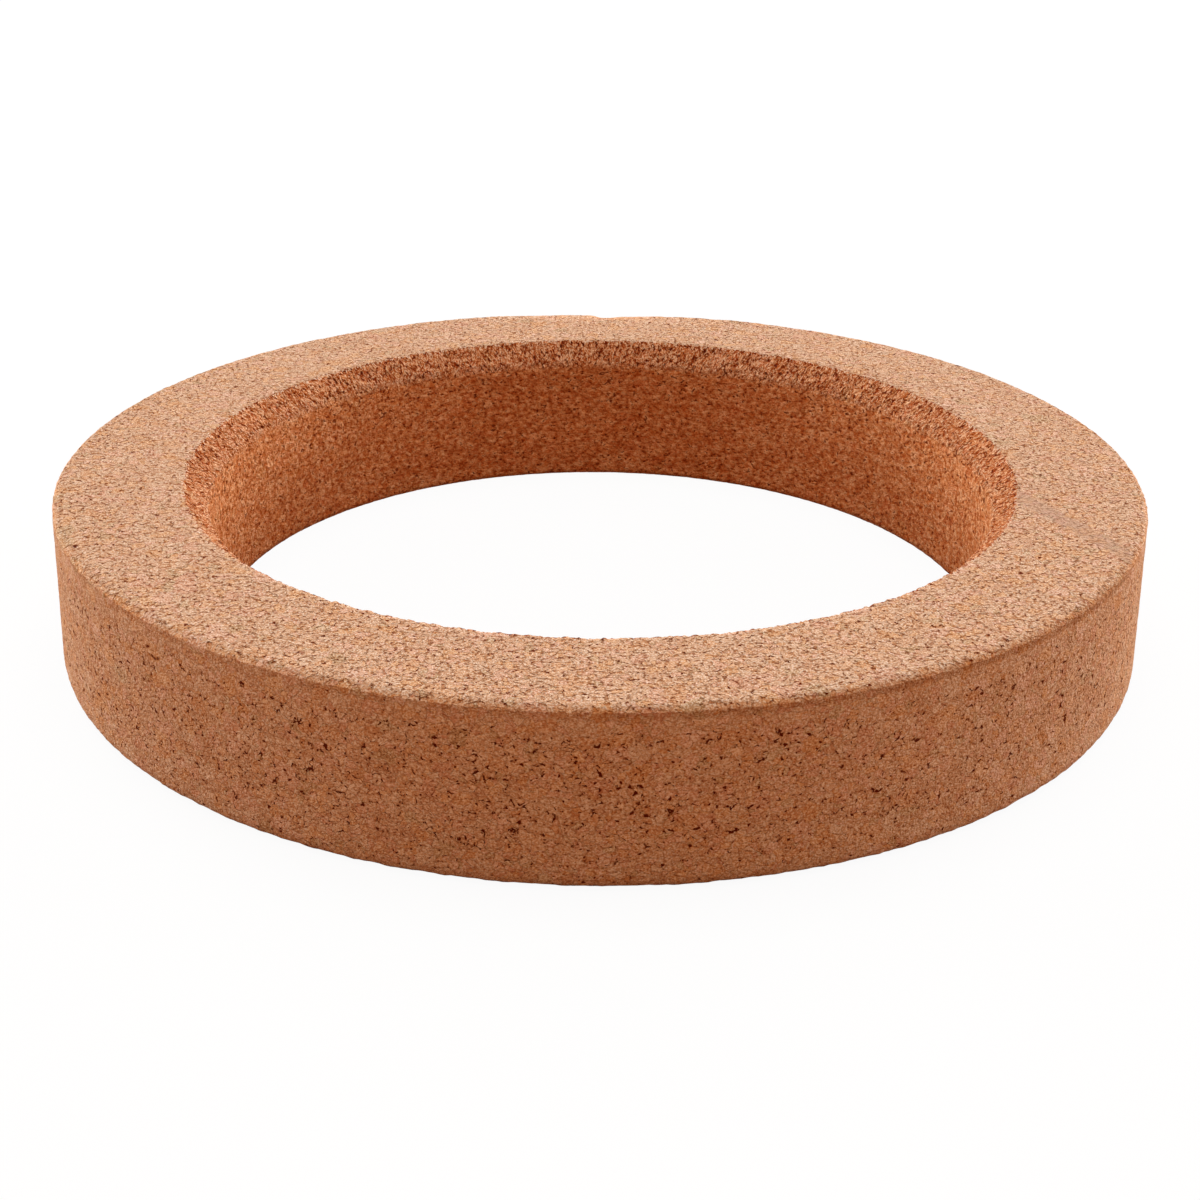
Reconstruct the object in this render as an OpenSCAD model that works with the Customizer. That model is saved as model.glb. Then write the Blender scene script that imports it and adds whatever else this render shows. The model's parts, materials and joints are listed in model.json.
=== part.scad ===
// Cork ring: a stand for round-bottom flasks, pressed and turned from agglomerated cork.
// Millimetres, +Z up. The origin is at the centre of the base, on the bore's axis.

/* [Ring] */
// Outer diameter at the top of the outer wall
outer_d = 200; // [120:1:300]
// Height from the base to the top face
ring_h = 30; // [20:1:60]
// Radial width of the base, from the bore to the outer wall's top diameter
wall_w = 27.2; // [20:0.2:40]
// How far the outer wall leans out between its top and its base
wall_flare = 0.8; // [0:0.1:2]

/* [Flask seat] */
// Radial width of the bevel that the flask rests on
seat_w = 4.2; // [1:0.1:8]
// Height of that bevel, down from the top face
seat_h = 4.1; // [1:0.1:8]

/* [Edges] */
// Radius of the sanded top outer edge
rim_round = 1.4; // [0.5:0.1:3]
// Radius of the sanded bottom outer edge
base_round = 2.1; // [0.5:0.1:3]

/* [Rim nick] */
// Direction of the nick, counted from +X towards +Y
nick_angle = 90; // [0:1:359]
// Length of the nick along the rim
nick_len = 18; // [4:0.5:30]
// Depth of the nick below the top face, at the rim
nick_depth = 1; // [0.4:0.1:3]
// How far the nick reaches in over the top face
nick_reach = 4; // [2:0.5:8]

/* [Hidden] */
$fn = 180;
outer_r = outer_d / 2;
bore_r = outer_r - wall_w;
mouth_r = bore_r + seat_w;
// The nick is deepest this share of its length from its steep end.
nick_steep_share = 0.22;
// The nick's cutter stands this far proud of the cork.
proud = 2;

// Centres of the two rounded outer edges in the section, as [radius, height]
rim_centre = [outer_r - rim_round, ring_h - rim_round];
base_centre = [outer_r + wall_flare - base_round, base_round];
// Direction square to the outer wall, which is the common tangent of both rounded edges
edge_gap = rim_centre - base_centre;
square_out = atan2(edge_gap.y, edge_gap.x) - acos((base_round - rim_round) / norm(edge_gap));
// Facets along each rounded edge
edge_steps = 8;

// Points along an arc in the section, counter-clockwise from one direction to the other
function arc(centre, radius, from, to) = [
    for (step = [0 : edge_steps])
        let (turn = from + (to - from) * step / edge_steps)
            centre + radius * [cos(turn), sin(turn)]
];

// Half of the ring's cross-section, from the bore outwards
module section() {
    polygon(concat(
        [[bore_r, 0]],
        arc(base_centre, base_round, -90, square_out),
        arc(rim_centre, rim_round, square_out, 90),
        [[mouth_r, ring_h], [bore_r, ring_h - seat_h]]
    ));
}

// Wedge that cuts the nick: steep at one end and gentle at the other, with a floor
// that rises inwards until it meets the top face
module rim_nick() {
    steep_end = nick_len * nick_steep_share;
    gentle_end = steep_end - nick_len;
    floor_slope = atan2(nick_depth, nick_reach);
    rotate(nick_angle)
        translate([outer_r, 0, ring_h - nick_depth])
            rotate([90, 0, 90])
                rotate([floor_slope, 0, 0])
                    translate([0, 0, -2 * nick_reach])
                        linear_extrude(height = 2 * nick_reach + proud)
                            polygon([
                                [0, 0],
                                [steep_end, nick_depth],
                                [steep_end, nick_depth + proud],
                                [gentle_end, nick_depth + proud],
                                [gentle_end, nick_depth]
                            ]);
}

// The whole ring is one pressed piece of cork.
module cork_ring() {
    color([0.72, 0.46, 0.29])
        difference() {
            rotate_extrude() section();
            rim_nick();
        }
}

cork_ring();
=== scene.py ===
"""Looks of the cork ring: camera and studio, the granular ring mesh, and its procedural cork."""

import json
import math
from types import SimpleNamespace

import bpy
import numpy as np
from mathutils import Matrix, Vector, noise


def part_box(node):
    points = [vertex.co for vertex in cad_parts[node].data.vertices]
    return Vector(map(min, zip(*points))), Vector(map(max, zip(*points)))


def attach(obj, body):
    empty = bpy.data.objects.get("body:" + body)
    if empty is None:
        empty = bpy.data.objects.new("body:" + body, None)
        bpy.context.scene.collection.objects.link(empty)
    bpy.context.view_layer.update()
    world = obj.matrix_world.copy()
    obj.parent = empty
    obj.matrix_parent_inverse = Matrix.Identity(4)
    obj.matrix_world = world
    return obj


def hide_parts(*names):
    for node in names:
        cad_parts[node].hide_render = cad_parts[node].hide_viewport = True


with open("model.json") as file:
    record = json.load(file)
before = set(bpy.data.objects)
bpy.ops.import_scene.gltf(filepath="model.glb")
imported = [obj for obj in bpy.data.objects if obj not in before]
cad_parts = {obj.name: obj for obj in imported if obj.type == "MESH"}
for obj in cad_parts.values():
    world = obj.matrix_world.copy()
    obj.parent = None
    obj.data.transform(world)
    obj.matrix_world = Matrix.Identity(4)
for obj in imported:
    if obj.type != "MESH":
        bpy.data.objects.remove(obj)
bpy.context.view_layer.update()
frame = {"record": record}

MM = 0.001

# Sizes read from the frame, in millimetres
bore_mount = next(m for m in frame["record"]["mounts"] if m["name"] == "flask_bore")
ring_low, ring_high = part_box("cork_ring")
RING_H = (ring_high.z - ring_low.z) / MM
BASE_R = (ring_high.x - ring_low.x) / 2 / MM
BORE_R = bore_mount["dims"]["r_mm"]
BORE_H = bore_mount["dims"]["length_mm"]

# Sizes of the section that the frame doesn't state, in millimetres. The rim is a small round,
# and from CROWN_FROM above the horizontal a wider one, the crown, leads on to the top.
FLARE = 0.8
SEAT_W = 4.2
CROWN_ROUND = 2.0
CROWN_FROM = math.radians(40)
RIM_ROUND = 0.25
BASE_ROUND = 2.1
THROAT_ROUND = 3.0
MOUTH_W = 0.8
MOUTH_R = BORE_R + SEAT_W
RIM_R = BASE_R - FLARE

# Mesh density: columns round the ring, doubled on the torn seat, the row pitch of each part of
# the section in millimetres, and the width of the strips that keep the flat base's edges even
COLUMNS = 720
ROW_PITCH = {
    "base_edge": 0.7,
    "wall": 0.9,
    "rim_edge": 0.2,
    "crown": 0.45,
    "top": 0.9,
    "mouth": 0.4,
    "seat": 0.36,
    "throat": 0.36,
    "bore": 1.0,
}
BASE_STRIP = 0.45
FINE_PARTS = ("mouth", "seat", "throat")
TORN_PARTS = ("mouth", "seat", "throat", "bore")

# Relief of each part in millimetres: how far granules stand proud, and how far the soft
# lumps under them do
RELIEF = {
    "bottom": (0.0, 0.0),
    "base_edge": (0.12, 0.25),
    "wall": (0.06, 0.10),
    "rim_edge": (0.12, 0.2),
    "crown": (0.15, 0.2),
    "top": (0.09, 0.09),
    "mouth": (0.5, 0.3),
    "seat": (0.75, 0.35),
    "throat": (0.8, 0.45),
    "bore": (0.30, 0.35),
}
PROUD_LIMIT = 0.15

# The relief's granules: their size and the size and reach of the noise that bends them in
# millimetres, and the width and depth of the grooves between them as shares of a granule
GRANULE = 0.9
BEND_SIZE = 0.9
BEND_REACH = 0.5
GROOVE_W = 0.25
GROOVE_DEPTH = 0.35

# The relief's lumps: the size of each kind in millimetres, and its share of the height
LUMPS = ((1.3, 0.5), (3.1, 0.3), (9.0, 0.25))

# Wear of the back rim in millimetres: a wide shallow dip, and the nick in its middle. The nick
# drops along NICK_DROP and rises in steps, each with its share of the depth, its start and end.
DIP_DEPTH = 0.45
DIP_FLAT = 4.0
DIP_HALF = 36.0
DIP_FROM = 88.0
NICK_DEPTH = 0.75
NICK_FROM = 95.0
NICK_DROP = (-2.8, 0.2)
NICK_RISE = ((0.6, 0.6, 6.0), (0.4, 6.3, 12.0))
WEAR_HEIGHT = 12.0

# Without a seed of its own, noise_vector differs from run to run
NOISE_SEED = 1
noise.seed_set(NOISE_SEED)


# ---------------------------------------------------------------- section

def line(start, end, pitch):
    """Points from start up to, but not with, end."""
    start, end = np.array(start, float), np.array(end, float)
    steps = max(1, round(np.linalg.norm(end - start) / pitch))
    return [start + (end - start) * i / steps for i in range(steps)]


def arc(centre, radius, start, end, pitch):
    """Points along an arc up to, but not with, its end. Angles are in radians."""
    steps = max(3, round(abs(end - start) * radius / pitch))
    angles = [start + (end - start) * i / steps for i in range(steps)]
    return [np.array(centre) + radius * np.array([math.cos(a), math.sin(a)]) for a in angles]


def ring_section():
    """The closed section, counter-clockwise: each row is (part, [radius, height])."""
    crown_start = np.array([math.cos(CROWN_FROM), math.sin(CROWN_FROM)])
    crown_centre = np.array([RIM_R - RIM_ROUND, RING_H - CROWN_ROUND])
    crown_centre[0] -= (CROWN_ROUND - RIM_ROUND) * crown_start[0]
    rim_centre = crown_centre + (CROWN_ROUND - RIM_ROUND) * crown_start
    base_centre = np.array([BASE_R - BASE_ROUND, BASE_ROUND])
    gap = rim_centre - base_centre
    length = np.linalg.norm(gap)
    square_out = math.atan2(gap[1], gap[0]) - math.acos((BASE_ROUND - RIM_ROUND) / length)
    outward = np.array([math.cos(square_out), math.sin(square_out)])
    wall_foot = base_centre + BASE_ROUND * outward
    wall_head = rim_centre + RIM_ROUND * outward

    seat_angle = math.atan2(RING_H - BORE_H, SEAT_W)
    seat_out = math.pi / 2 + seat_angle
    tangent = THROAT_ROUND * math.tan((math.pi / 2 - seat_angle) / 2)
    throat_centre = np.array([BORE_R + THROAT_ROUND, BORE_H - tangent])
    throat_head = throat_centre + THROAT_ROUND * np.array([math.cos(seat_out), math.sin(seat_out)])
    down_seat = -np.array([math.cos(seat_angle), math.sin(seat_angle)])
    mouth_foot = np.array([MOUTH_R, RING_H]) + MOUTH_W * down_seat

    base_in, base_out = BORE_R, base_centre[0]
    base_rows = [base_in, base_in + BASE_STRIP, base_in + 2 * BASE_STRIP, (base_in + base_out) / 2,
                 base_out - 2 * BASE_STRIP, base_out - BASE_STRIP]

    pitch = ROW_PITCH
    parts = {
        "bottom": [np.array([radius, 0.0]) for radius in base_rows],
        "base_edge": arc(base_centre, BASE_ROUND, -math.pi / 2, square_out, pitch["base_edge"]),
        "wall": line(wall_foot, wall_head, pitch["wall"]),
        "rim_edge": arc(rim_centre, RIM_ROUND, square_out, CROWN_FROM, pitch["rim_edge"]),
        "crown": arc(crown_centre, CROWN_ROUND, CROWN_FROM, math.pi / 2, pitch["crown"]),
        "top": line((crown_centre[0], RING_H), (MOUTH_R, RING_H), pitch["top"]),
        "mouth": line((MOUTH_R, RING_H), mouth_foot, pitch["mouth"]),
        "seat": line(mouth_foot, throat_head, pitch["seat"]),
        "throat": arc(throat_centre, THROAT_ROUND, seat_out, math.pi, pitch["throat"]),
        "bore": line((BORE_R, throat_centre[1]), (BORE_R, 0), pitch["bore"]),
    }
    return [(part, point) for part, points in parts.items() for point in points]


# ---------------------------------------------------------------- mesh

def outward_normals(section):
    """Unit normals of the closed section, each from the two neighbouring rows."""
    along = np.roll(section, -1, axis=0) - np.roll(section, 1, axis=0)
    normals = np.stack([along[:, 1], -along[:, 0]], axis=1)
    return normals / np.linalg.norm(normals, axis=1, keepdims=True)


def granule_height(point):
    """Height of the pressed granule under a point, about -0.6 to 0.5, with grooves between."""
    bent = point + BEND_REACH * noise.noise_vector(point / BEND_SIZE)
    distances, centres = noise.voronoi(bent / GRANULE)
    own = 0.5 * noise.noise(centres[0] * 7.3)
    groove = max(0.0, 1 - (distances[1] - distances[0]) / GROOVE_W)
    return own - GROOVE_DEPTH * groove


def relief(point, granule_share, lump_share):
    """How far the surface stands off the true section, in millimetres."""
    if granule_share == 0 and lump_share == 0:
        return 0.0
    lumps = sum(share * noise.noise(point / size) for size, share in LUMPS)
    return min(granule_share * granule_height(point) + lump_share * lumps, PROUD_LIMIT)


def ease(value, low, high):
    """Smooth step from 0 at low to 1 at high."""
    share = min(1.0, max(0.0, (value - low) / (high - low)))
    return share * share * (3 - 2 * share)


def wear(point):
    """How far the top of the back rim has lost its edge at a point, in millimetres."""
    if point.y < 0:
        return 0.0
    radius = math.hypot(point.x, point.y)
    risen = sum(share * ease(point.x, start, end) for share, start, end in NICK_RISE)
    dip = DIP_DEPTH * (1 - ease(abs(point.x), DIP_FLAT, DIP_HALF)) * ease(radius, DIP_FROM, RIM_R)
    nick = NICK_DEPTH * ease(point.x, *NICK_DROP) * (1 - risen) * ease(radius, NICK_FROM, RIM_R)
    return (dip + nick) * ease(point.z, RING_H - WEAR_HEIGHT, RING_H)


def ring_rows():
    """Each row's points round the ring, in millimetres."""
    section = ring_section()
    flat = np.array([point for part, point in section])
    normals = outward_normals(flat)
    shares = np.array([RELIEF[part] for part, point in section])
    shares = (np.roll(shares, 1, axis=0) + shares + np.roll(shares, -1, axis=0)) / 3
    rows = []
    for (part, point), normal, share in zip(section, normals, shares):
        count = COLUMNS * (2 if part in FINE_PARTS else 1)
        row = []
        for angle in np.arange(count) * 2 * math.pi / count:
            turn = Vector((math.cos(angle), math.sin(angle), 0))
            spot = turn * point[0] + Vector((0, 0, point[1]))
            torn = turn * MOUTH_R + Vector((0, 0, point[1]))
            off = relief(torn if part in TORN_PARTS else spot, *share)
            spot += turn * (normal[0] * off) + Vector((0, 0, normal[1] * off))
            spot.z = max(0.0, spot.z - wear(spot))
            row.append(spot)
        rows.append(row)
    return rows


def ring_mesh():
    """The ring as one closed mesh. Where a coarse row meets a fine one, faces have five sides."""
    rows = ring_rows()
    starts = np.cumsum([0] + [len(row) for row in rows])
    faces = []
    for index, row in enumerate(rows):
        above = (index + 1) % len(rows)
        low, high = len(row), len(rows[above])
        shared = min(low, high)
        step_low, step_high = low // shared, high // shared
        for column in range(shared):
            foot = [starts[index] + (column * step_low + i) % low for i in range(step_low + 1)]
            head = [starts[above] + (column * step_high + i) % high for i in range(step_high + 1)]
            faces.append([int(i) for i in foot + head[::-1]])
    mesh = bpy.data.meshes.new("cork_body")
    mesh.from_pydata([spot * MM for row in rows for spot in row], [], faces)
    mesh.update()
    mesh.shade_smooth()
    return mesh


ring = bpy.data.objects.new("cork_body", ring_mesh())
bpy.context.scene.collection.objects.link(ring)
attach(ring, "root")
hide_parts("cork_ring")


# ---------------------------------------------------------------- cork

class Graph:
    """Short calls that add nodes to one node tree and join them."""

    def __init__(self, tree):
        self.tree = tree

    def node(self, kind, **settings):
        made = self.tree.nodes.new(kind)
        for name, value in settings.items():
            setattr(made, name, value)
        return made

    def feed(self, socket, value):
        """Joins a socket to another node's output, or sets its own value."""
        if isinstance(value, bpy.types.NodeSocket):
            self.tree.links.new(value, socket)
        elif socket.type == "RGBA" and hasattr(value, "__len__"):
            socket.default_value = (*value, 1)
        else:
            socket.default_value = value

    def math(self, operation, *values, clamp=False):
        made = self.node("ShaderNodeMath", operation=operation, use_clamp=clamp)
        for socket, value in zip(made.inputs, values):
            self.feed(socket, value)
        return made.outputs[0]

    def total(self, *values):
        result = values[0]
        for value in values[1:]:
            result = self.math("ADD", result, value)
        return result

    def product(self, *values):
        result = values[0]
        for value in values[1:]:
            result = self.math("MULTIPLY", result, value)
        return result

    def vector(self, operation, *values):
        made = self.node("ShaderNodeVectorMath", operation=operation)
        for socket, value in zip(made.inputs, values):
            self.feed(socket, value)
        return made.outputs["Value" if operation in ("LENGTH", "DOT_PRODUCT") else "Vector"]

    def stretch(self, place, factors):
        return self.vector("MULTIPLY", place, factors)

    def noise(self, place, size, detail=1.0, roughness=0.5):
        """Noise whose blobs are about `size` millimetres; outputs are the value and a colour."""
        made = self.node("ShaderNodeTexNoise", noise_dimensions="3D")
        self.feed(made.inputs["Vector"], place)
        made.inputs["Scale"].default_value = 1 / size
        made.inputs["Detail"].default_value = detail
        made.inputs["Roughness"].default_value = roughness
        return made.outputs[0], made.outputs[1]

    def cells(self, place, size, feature="F1"):
        """Voronoi cells about `size` millimetres across."""
        made = self.node("ShaderNodeTexVoronoi", voronoi_dimensions="3D", feature=feature)
        self.feed(made.inputs["Vector"], place)
        made.inputs["Scale"].default_value = 1 / size
        return made

    def ramp(self, value, low, high, to_low=0.0, to_high=1.0):
        """Smooth step from to_low at low to to_high at high."""
        made = self.node("ShaderNodeMapRange", interpolation_type="SMOOTHSTEP")
        for socket, number in zip(made.inputs, (value, low, high, to_low, to_high)):
            self.feed(socket, number)
        return made.outputs[0]

    def mix(self, share, first, second):
        made = self.node("ShaderNodeMix", data_type="FLOAT")
        for index, value in zip((0, 2, 3), (share, first, second)):
            self.feed(made.inputs[index], value)
        return made.outputs[0]

    def mix_colour(self, share, first, second, blend="MIX"):
        made = self.node("ShaderNodeMix", data_type="RGBA", blend_type=blend)
        for index, value in zip((0, 6, 7), (share, first, second)):
            self.feed(made.inputs[index], value)
        return made.outputs[2]

    def split(self, value):
        made = self.node("ShaderNodeSeparateXYZ")
        self.feed(made.inputs[0], value)
        return made.outputs

    def join(self, *values):
        made = self.node("ShaderNodeCombineXYZ")
        for socket, value in zip(made.inputs, values):
            self.feed(socket, value)
        return made.outputs[0]

    def opposite(self, share):
        return self.math("SUBTRACT", 1, share)

    def distance(self, value, goal):
        return self.math("ABSOLUTE", self.math("SUBTRACT", value, goal))


# Colours of each zone's cork, as linear RGB
TOP_CORK = (0.562, 0.346, 0.220)
WALL_CORK = (0.635, 0.358, 0.204)
BORE_CORK = (0.570, 0.214, 0.078)
SEAT_CORK = (0.518, 0.212, 0.091)
PIT_CORK = (0.13, 0.014, 0.001)

# Colour factors of the granules, each from its share of the random numbers on: cream, pink, tan,
# plain, brown, orange and olive ones
GRANULE_TINTS = [
    (0.00, (0.99, 1.05, 1.10)),
    (0.22, (1.05, 1.00, 1.10)),
    (0.40, (1.03, 0.95, 0.84)),
    (0.56, (1.00, 1.01, 1.02)),
    (0.72, (0.93, 0.90, 0.90)),
    (0.85, (1.03, 0.92, 0.72)),
    (0.96, (0.84, 0.92, 0.86)),
]

# Sizes of granules and of the softer variation in them, in millimetres
BIG_GRANULE = 2.7
SMALL_GRANULE = 1.3
SMALL_SHARE = 0.6
PATCH = 1.2
LUMP = 0.85
FINE = 0.33

# How much finer the pattern is along the ring (SPREAD) and in height (SQUASH)
OUTER_SPREAD, OUTER_SQUASH = 1.05, 1.25
SEAT_SPREAD, SEAT_SQUASH = 1.35, 1.1
BORE_SPREAD, BORE_SQUASH = 0.85, 1.2

# Numbers that differ from zone to zone: on the wall, the top, the seat and in the bore
TINT_SHARE = (0.65, 0.6, 0.45, 0.4)
JOINTS_OPEN_FROM = (0.605, 0.645, 0.63, 0.68)
HOLES_OPEN_FROM = (-0.245, -0.268, -0.215, -0.235)
PIT_SHARE = (1.0, 0.97, 0.85, 0.75)
POWER_OF_LOW = (1.05, 1.25, 0.97, 0.89)
SHADE_OF_LOW = (-0.10, 0.10, -0.02, -0.2)
# Each feature's share of how low the cork is. Low cork is painted darker and redder: partly its own
# tone, partly painted shade in the hollows
LOW = {
    "halo": (0.9, 1.0, 0.6, 0.5),
    "patch": (0, 0, 0, -1.5),
    "granule": (-0.26, -0.11, -0.3, -0.2),
    "seam": (0.10, 0.15, 0.30, 0.0),
    "hairline": (0.2, 0.25, 0.5, 0.1),
    "groove": (0.1, 0.42, 0.8, 0.2),
    "lump": (-0.35, -0.2, -1.0, -0.9),
    "fine": (-2.1, -1.95, -3.6, -1.2),
}
GROOVE_HEIGHT = (-0.04, -0.25, -0.15, -0.05)
LUMP_HEIGHT = (0.3, 0.3, 0.5, 0.6)
FINE_HEIGHT = (0.2, 0.35, 0.35, 0.25)

# Marks in millimetres: a smooth greyer scar across the top with a crease beside it, two pits on
# the top, and three gouges high in the bore
SCAR_NORMAL = (0.894, 0.447, 0)
SCAR_REACH = 60.4
CREASE_NORMAL = (0.770, 0.638, 0)
CREASE_REACH = 40.7
SCAR_TINT = (0.88, 0.885, 0.925)
SPOTS = [
    ((79.9, -4.8, RING_H), 0.7),
    ((-88.0, -43.6, RING_H), 0.8),
    ((BORE_R, 3.7, 23.4), 0.9),
    ((BORE_R, -0.4, 23.0), 0.8),
    ((BORE_R, -3.4, 18.1), 0.9),
]


def zones(g, z, radius, lump, fine):
    """Share of each zone at a point, from its height and radius in millimetres. The mouth, where
    the top meets the seat, has a ragged edge."""
    ragged = g.total(radius, g.product(lump, 2.2), g.product(fine, 1.2))
    inner = g.ramp(ragged, MOUTH_R - 0.2, MOUTH_R + 0.2, 1, 0)
    above_bore = g.ramp(z, BORE_H - 1.4, BORE_H + 1.0)
    flat_top = g.ramp(z, RING_H - 0.8, RING_H - 0.05)
    flat_base = g.product(g.ramp(z, 0.15, 0.9, 1, 0), g.ramp(radius, BORE_R + 0.1, BORE_R + 0.6))
    outer = g.opposite(inner)
    return {
        "outer": outer,
        "top": g.product(flat_top, outer),
        "base": flat_base,
        "bore": g.product(inner, g.opposite(above_bore), g.opposite(flat_base)),
        "seat": g.product(inner, above_bore),
    }


def by_zone(g, zone, wall, top, seat, bore):
    """A number that differs from zone to zone. The base is like the top."""
    value = g.mix(zone["top"], wall, top)
    value = g.mix(zone["base"], value, top)
    value = g.mix(zone["bore"], value, bore)
    return g.mix(zone["seat"], value, seat)


def pattern_place(g, place, z, radius):
    """Where the pattern is taken from. The seat and the bore take it from a cylinder, so that
    granules are torn along the slope there."""
    inward = g.math("DIVIDE", MOUTH_R, radius)
    in_bore = g.math("LESS_THAN", z, BORE_H - 1.0)
    in_ring = g.product(g.math("LESS_THAN", radius, MOUTH_R), g.math("GREATER_THAN", z, 0.3))
    inner_spread = g.product(inward, g.mix(in_bore, SEAT_SPREAD, BORE_SPREAD))
    spread = g.mix(in_ring, OUTER_SPREAD, inner_spread)
    squash = g.mix(in_ring, OUTER_SQUASH, g.mix(in_bore, SEAT_SQUASH, BORE_SQUASH))
    x, y, drop = g.split(g.vector("SUBTRACT", place, (0, 0, RING_H)))
    return g.join(g.product(x, spread), g.product(y, spread), g.product(drop, squash))


def bend(g, place, size, reach, detail):
    """Moves a point by up to about `reach` millimetres, following noise of that size."""
    push = g.vector("SUBTRACT", g.noise(place, size, detail)[1], (0.5, 0.5, 0.5))
    return g.vector("ADD", place, g.stretch(push, (reach, reach, reach)))


def granules(g, flat):
    """The pressed granules at a point: each one's random numbers, and the distance to its edge."""
    bent = bend(g, flat, 1.9, 2.6, 2.0)
    big = g.cells(bent, BIG_GRANULE)
    small = g.cells(bent, SMALL_GRANULE)
    small_edge = g.cells(bent, SMALL_GRANULE, "DISTANCE_TO_EDGE")
    is_small = g.math("GREATER_THAN", g.split(big.outputs["Color"])[0], 1 - SMALL_SHARE)
    random = g.mix_colour(is_small, big.outputs["Color"], small.outputs["Color"])
    return random, g.product(small_edge.outputs["Distance"], SMALL_GRANULE)


def surface_fields(g):
    """What the cork's colour and height share at a point. Lengths are in millimetres."""
    metres = g.node("ShaderNodeTexCoord").outputs["Object"]
    place = g.stretch(metres, (1 / MM, 1 / MM, 1 / MM))
    x, y, z = g.split(place)
    radius = g.vector("LENGTH", g.stretch(place, (1, 1, 0)))
    flat = pattern_place(g, place, z, radius)
    random, gap = granules(g, flat)
    lump = g.math("SUBTRACT", g.noise(flat, LUMP)[0], 0.5)
    fine = g.math("SUBTRACT", g.noise(flat, FINE)[0], 0.5)
    return SimpleNamespace(
        place=place,
        x=x,
        z=z,
        radius=radius,
        zone=zones(g, z, radius, lump, fine),
        random=random,
        gap=gap,
        patch=g.noise(flat, PATCH)[0],
        lump=lump,
        fine=fine,
    )


def pressed_scar(g, at):
    """Share of the scar on the top and of the crease along its lower edge."""
    off_scar = g.distance(g.vector("DOT_PRODUCT", at.place, SCAR_NORMAL), SCAR_REACH)
    off_crease = g.distance(g.vector("DOT_PRODUCT", at.place, CREASE_NORMAL), CREASE_REACH)
    on_top = g.product(at.zone["top"], g.ramp(at.x, 60, 65))
    scar = g.product(on_top, g.ramp(off_scar, 1.5, 2.6, 1, 0))
    crease = g.product(on_top, g.ramp(off_crease, 0.0, 0.35, 1, 0), g.ramp(at.x, 81, 84))
    return scar, crease


def tightness(g, at, scar):
    """How much closer the cork is pressed: below the rim, near the base and on the scar, but less
    so high in the bore."""
    below_rim = g.product(g.ramp(at.z, RING_H - 5, RING_H - 3), at.zone["outer"])
    below_rim = g.product(below_rim, g.opposite(at.zone["top"]))
    near_base = g.product(g.ramp(at.z, 3, 8, 1, 0), at.zone["outer"])
    throat = g.product(at.zone["bore"], g.ramp(at.z, BORE_H - 9, BORE_H - 3))
    return g.total(
        g.product(below_rim, 0.12),
        g.product(near_base, 0.05),
        g.product(throat, -0.03),
        g.product(scar, 0.05),
    )


def openings(g, at, tight):
    """Share of open pit at a point, and of the browner cork round pits."""
    # Open joints between granules: a width in millimetres that is mostly nothing
    open_from = by_zone(g, at.zone, *JOINTS_OPEN_FROM)
    torn_open = g.math("SUBTRACT", g.total(at.patch, g.product(at.fine, 0.35)), tight)
    open_width = g.ramp(torn_open, open_from, 0.74, -0.03, 0.17)
    joint = g.ramp(g.math("SUBTRACT", at.gap, open_width), -0.03, 0.02, 1, 0)
    torn_near = g.ramp(torn_open, g.total(open_from, -0.03), 0.70)
    joint_halo = g.product(torn_near, g.ramp(at.gap, 0.03, 0.22, 1, 0))

    # Holes in the granules, where lumps and fine noise both run deep
    hole_from = by_zone(g, at.zone, *HOLES_OPEN_FROM)
    hole_depth = g.total(at.lump, g.product(at.fine, 0.6), tight)
    hole = g.ramp(hole_depth, hole_from, -0.32)
    hole_halo = g.ramp(g.math("SUBTRACT", hole_depth, hole_from), 0.045, -0.03)

    return g.math("MAXIMUM", joint, hole), g.math("MAXIMUM", joint_halo, hole_halo)


def with_spots(g, at, pit):
    """The pits together with this ring's single marks, which have ragged outlines."""
    ragged = bend(g, at.place, 0.8, 1.0, 0.0)
    for spot, reach in SPOTS:
        apart = g.vector("LENGTH", g.vector("SUBTRACT", ragged, spot))
        pit = g.math("MAXIMUM", pit, g.ramp(apart, 0.4 * reach, reach, 1, 0))
    return pit


def painted_rim_shade(g, at):
    """Share of painted shade, browner and darker, just below the rim's edge. It grows towards +X and
    ends near both sides.
    """
    return g.product(
        g.ramp(at.radius, RIM_R - 0.9, RIM_R - 0.1),
        g.ramp(at.z, RING_H - 2.4, RING_H - 1.3),
        g.ramp(at.patch, 0.15, 0.4),
        g.ramp(at.x, -70, 70, 0.3, 1.3),
        g.ramp(g.math("ABSOLUTE", at.x), 82, 97, 1, 0),
    )


def granule_tints(g, random):
    """Colour factor of the granule at a point."""
    ramp = g.node("ShaderNodeValToRGB")
    ramp.color_ramp.interpolation = "CONSTANT"
    while len(ramp.color_ramp.elements) < len(GRANULE_TINTS):
        ramp.color_ramp.elements.new(0.5)
    for element, (start, colour) in zip(ramp.color_ramp.elements, GRANULE_TINTS):
        element.position = start
        element.color = (*colour, 1)
    g.feed(ramp.inputs[0], g.split(random)[1])
    return ramp.outputs[0]


def plain_colour(g, at):
    """The zone's colour, tinted from granule to granule."""
    colour = g.mix_colour(at.zone["top"], WALL_CORK, TOP_CORK)
    colour = g.mix_colour(at.zone["base"], colour, TOP_CORK)
    colour = g.mix_colour(at.zone["bore"], colour, BORE_CORK)
    colour = g.mix_colour(at.zone["seat"], colour, SEAT_CORK)
    share = by_zone(g, at.zone, *TINT_SHARE)
    return g.mix_colour(share, colour, granule_tints(g, at.random), "MULTIPLY")


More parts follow.
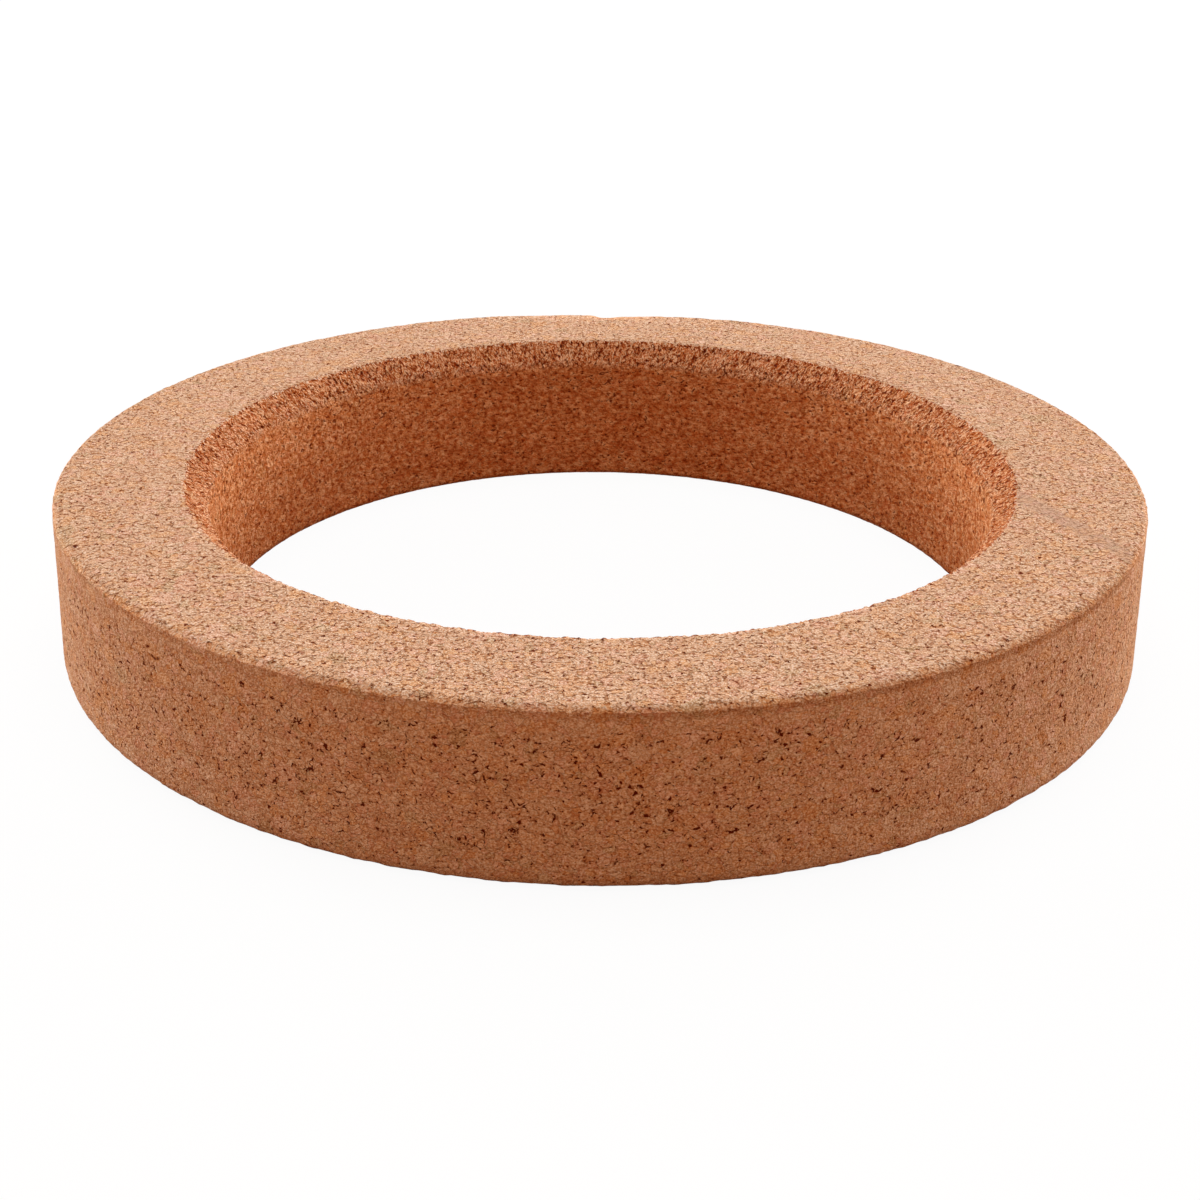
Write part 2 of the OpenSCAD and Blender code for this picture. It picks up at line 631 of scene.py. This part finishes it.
def deepened(g, at, colour, low, rim_shade):
    """Low cork is darker and redder, raised cork is paler: a power and a factor of the colour.
    Partly the cork's own tone, partly painted shade and bounce light in its hollows.
    """
    gamma = g.node("ShaderNodeGamma")
    g.feed(gamma.inputs[0], colour)
    power = g.total(g.product(low, by_zone(g, at.zone, *POWER_OF_LOW)), 0.95)
    g.feed(gamma.inputs[1], g.math("MAXIMUM", power, 0.6))
    shade_of_low = g.product(low, by_zone(g, at.zone, *SHADE_OF_LOW))
    # The rim's painted shade darkens the colour further
    shade = g.math("MAXIMUM", g.total(shade_of_low, 1.05, g.product(rim_shade, -0.12)), 0.2)
    return g.mix_colour(1.0, gamma.outputs[0], shade, "MULTIPLY")


def cork_material():
    mat = bpy.data.materials.new("cork")
    mat.use_nodes = True
    g = Graph(mat.node_tree)
    shader = mat.node_tree.nodes["Principled BSDF"]
    at = surface_fields(g)
    granule = g.split(at.random)[2]
    scar, scar_crease = pressed_scar(g, at)
    pit, halo = openings(g, at, tightness(g, at, scar))
    pit = with_spots(g, at, pit)
    # Painted shade along the rim's rounded edge
    rim_shade = painted_rim_shade(g, at)

    # Closed joints, broken grooves along some of them, and hairlines across the granules
    seam = g.ramp(at.gap, 0.0, 0.13, 1, 0)
    groove = g.product(g.ramp(at.gap, 0.03, 0.28, 1, 0), g.ramp(at.lump, 0.0, -0.12))
    hairline = g.ramp(g.math("ABSOLUTE", at.fine), 0.0, 0.03, 1, 0)
    hairline = g.product(hairline, g.ramp(at.patch, 0.6, 0.45))

    features = {
        "halo": halo,
        "patch": g.math("SUBTRACT", at.patch, 0.5),
        "granule": g.math("SUBTRACT", granule, 0.5),
        "seam": seam,
        "hairline": hairline,
        "groove": groove,
        "lump": at.lump,
        "fine": at.fine,
    }
    low = g.product(rim_shade, 0.2)
    for name, amounts in LOW.items():
        low = g.total(low, g.product(features[name], by_zone(g, at.zone, *amounts)))
    low = g.product(low, g.mix(scar, 1, 0.4))
    colour = deepened(g, at, plain_colour(g, at), low, rim_shade)
    colour = g.mix_colour(scar, colour, SCAR_TINT, "MULTIPLY")
    pit_share = g.product(pit, by_zone(g, at.zone, *PIT_SHARE))
    colour = g.mix_colour(pit_share, colour, PIT_CORK)

    height = g.total(
        g.product(granule, 0.12),
        g.product(seam, -0.08),
        g.product(groove, by_zone(g, at.zone, *GROOVE_HEIGHT)),
        g.product(at.lump, by_zone(g, at.zone, *LUMP_HEIGHT)),
        g.product(at.fine, by_zone(g, at.zone, *FINE_HEIGHT)),
        g.product(pit, -0.3),
        g.product(scar_crease, -0.25),
    )
    bump = g.node("ShaderNodeBump")
    bump.inputs["Distance"].default_value = MM
    g.feed(bump.inputs["Height"], height)

    g.feed(shader.inputs["Base Color"], colour)
    g.feed(shader.inputs["Normal"], bump.outputs[0])
    shader.inputs["Roughness"].default_value = 0.9
    shader.inputs["Specular IOR Level"].default_value = 0.0
    shader.inputs["Sheen Weight"].default_value = 0.06
    shader.inputs["Sheen Roughness"].default_value = 0.3
    return mat


ring.data.materials.append(cork_material())


# ---------------------------------------------------------------- studio

FLOOR_COLOUR = (0.40, 0.24, 0.16)
FILL_COLOUR = (1.0, 0.60, 0.38)
FILL_STRENGTH = 0.517


def background_rays(tree):
    """1 for the rays that show the plain background: camera, glossy and transmission rays."""
    path = tree.nodes.new("ShaderNodeLightPath")
    mirrored = tree.nodes.new("ShaderNodeMath")
    mirrored.operation = "MAXIMUM"
    tree.links.new(path.outputs["Is Glossy Ray"], mirrored.inputs[0])
    tree.links.new(path.outputs["Is Transmission Ray"], mirrored.inputs[1])
    shown = tree.nodes.new("ShaderNodeMath")
    shown.operation = "MAXIMUM"
    tree.links.new(path.outputs["Is Camera Ray"], shown.inputs[0])
    tree.links.new(mirrored.outputs[0], shown.inputs[1])
    return shown.outputs[0]


def floor_material():
    """Pale floor: white to the camera but for a soft share of the shadow."""
    mat = bpy.data.materials.new("studio_floor")
    mat.use_nodes = True
    tree = mat.node_tree
    tree.nodes.clear()
    out = tree.nodes.new("ShaderNodeOutputMaterial")
    bounce = tree.nodes.new("ShaderNodeBsdfDiffuse")
    bounce.inputs["Color"].default_value = (*FLOOR_COLOUR, 1)
    shadow = tree.nodes.new("ShaderNodeBsdfDiffuse")
    shadow.inputs["Color"].default_value = (0.8, 0.8, 0.8, 1)
    white = tree.nodes.new("ShaderNodeEmission")
    white.inputs["Strength"].default_value = 1.0
    seen = tree.nodes.new("ShaderNodeMixShader")
    seen.inputs[0].default_value = 0.94
    mix = tree.nodes.new("ShaderNodeMixShader")
    tree.links.new(shadow.outputs[0], seen.inputs[1])
    tree.links.new(white.outputs[0], seen.inputs[2])
    tree.links.new(background_rays(tree), mix.inputs[0])
    tree.links.new(bounce.outputs[0], mix.inputs[1])
    tree.links.new(seen.outputs[0], mix.inputs[2])
    tree.links.new(mix.outputs[0], out.inputs["Surface"])
    return mat


def make_floor():
    half = 3.0
    mesh = bpy.data.meshes.new("floor")
    mesh.from_pydata([(-half, -half, 0), (half, -half, 0), (half, half, 0), (-half, half, 0)],
                     [], [(0, 1, 2, 3)])
    mesh.materials.append(floor_material())
    floor = bpy.data.objects.new("floor", mesh)
    bpy.context.scene.collection.objects.link(floor)


LAMP_COLOUR = (0.925, 1.0, 1.033)
LAMP_AIM = Vector((0, 0, 0.02))


def area_light(name, place, size, power):
    lamp = bpy.data.lights.new(name, "AREA")
    lamp.shape = "RECTANGLE"
    lamp.size, lamp.size_y = size
    lamp.energy = power
    lamp.color = LAMP_COLOUR
    holder = bpy.data.objects.new(name, lamp)
    holder.location = place
    holder.rotation_mode = "QUATERNION"
    holder.rotation_quaternion = (LAMP_AIM - Vector(place)).to_track_quat("-Z", "Y")
    bpy.context.scene.collection.objects.link(holder)
    return holder


def make_world():
    """Warm soft fill, and white to the camera."""
    world = bpy.data.worlds.new("studio")
    world.use_nodes = True
    tree = world.node_tree
    tree.nodes.clear()
    out = tree.nodes.new("ShaderNodeOutputWorld")
    light = tree.nodes.new("ShaderNodeBackground")
    light.inputs["Color"].default_value = (*FILL_COLOUR, 1)
    light.inputs["Strength"].default_value = FILL_STRENGTH
    seen = tree.nodes.new("ShaderNodeBackground")
    seen.inputs["Color"].default_value = (1, 1, 1, 1)
    seen.inputs["Strength"].default_value = 1.0
    mix = tree.nodes.new("ShaderNodeMixShader")
    tree.links.new(background_rays(tree), mix.inputs[0])
    tree.links.new(light.outputs[0], mix.inputs[1])
    tree.links.new(seen.outputs[0], mix.inputs[2])
    tree.links.new(mix.outputs[0], out.inputs["Surface"])
    bpy.context.scene.world = world


# The camera stands in front of the ring, on -Y, and looks down at it.
CAMERA_BACK = 341.7
CAMERA_UP = 157.4
CAMERA_PITCH = 0.4289
CAMERA_YAW = 0.0005
CAMERA_ROLL = 0.0105
CAMERA_LENS = 57.95


def make_camera():
    forward = Vector((math.sin(CAMERA_YAW) * math.cos(CAMERA_PITCH),
                      math.cos(CAMERA_YAW) * math.cos(CAMERA_PITCH),
                      -math.sin(CAMERA_PITCH)))
    level = forward.cross(Vector((0, 0, 1))).normalized()
    above = level.cross(forward)
    right = math.cos(CAMERA_ROLL) * level + math.sin(CAMERA_ROLL) * above
    up = math.cos(CAMERA_ROLL) * above - math.sin(CAMERA_ROLL) * level
    lens = bpy.data.cameras.new("camera")
    lens.lens = CAMERA_LENS
    lens.sensor_width = 36
    holder = bpy.data.objects.new("camera", lens)
    turn = Matrix((right, up, -forward)).transposed().to_4x4()
    holder.matrix_world = Matrix.Translation(Vector((0, -CAMERA_BACK, CAMERA_UP)) * MM) @ turn
    bpy.context.scene.collection.objects.link(holder)
    bpy.context.scene.camera = holder


make_floor()
make_world()
area_light("top_box", (0.0, 0.1, 1.3), (0.9, 0.9), 10.7)
for side, name in ((-1, "left"), (1, "right")):
    area_light(name + "_back", (side * 0.9, 0.9, 0.25), (0.6, 0.4), 13.0)
    area_light(name + "_box", (side * 1.2, 0.3, 0.45), (0.6, 0.8), 5.5)
    area_light(name + "_low", (side * 1.2, 0.15, 0.15), (0.6, 0.25), 1.15)
make_camera()
bpy.context.scene.view_settings.view_transform = "Standard"
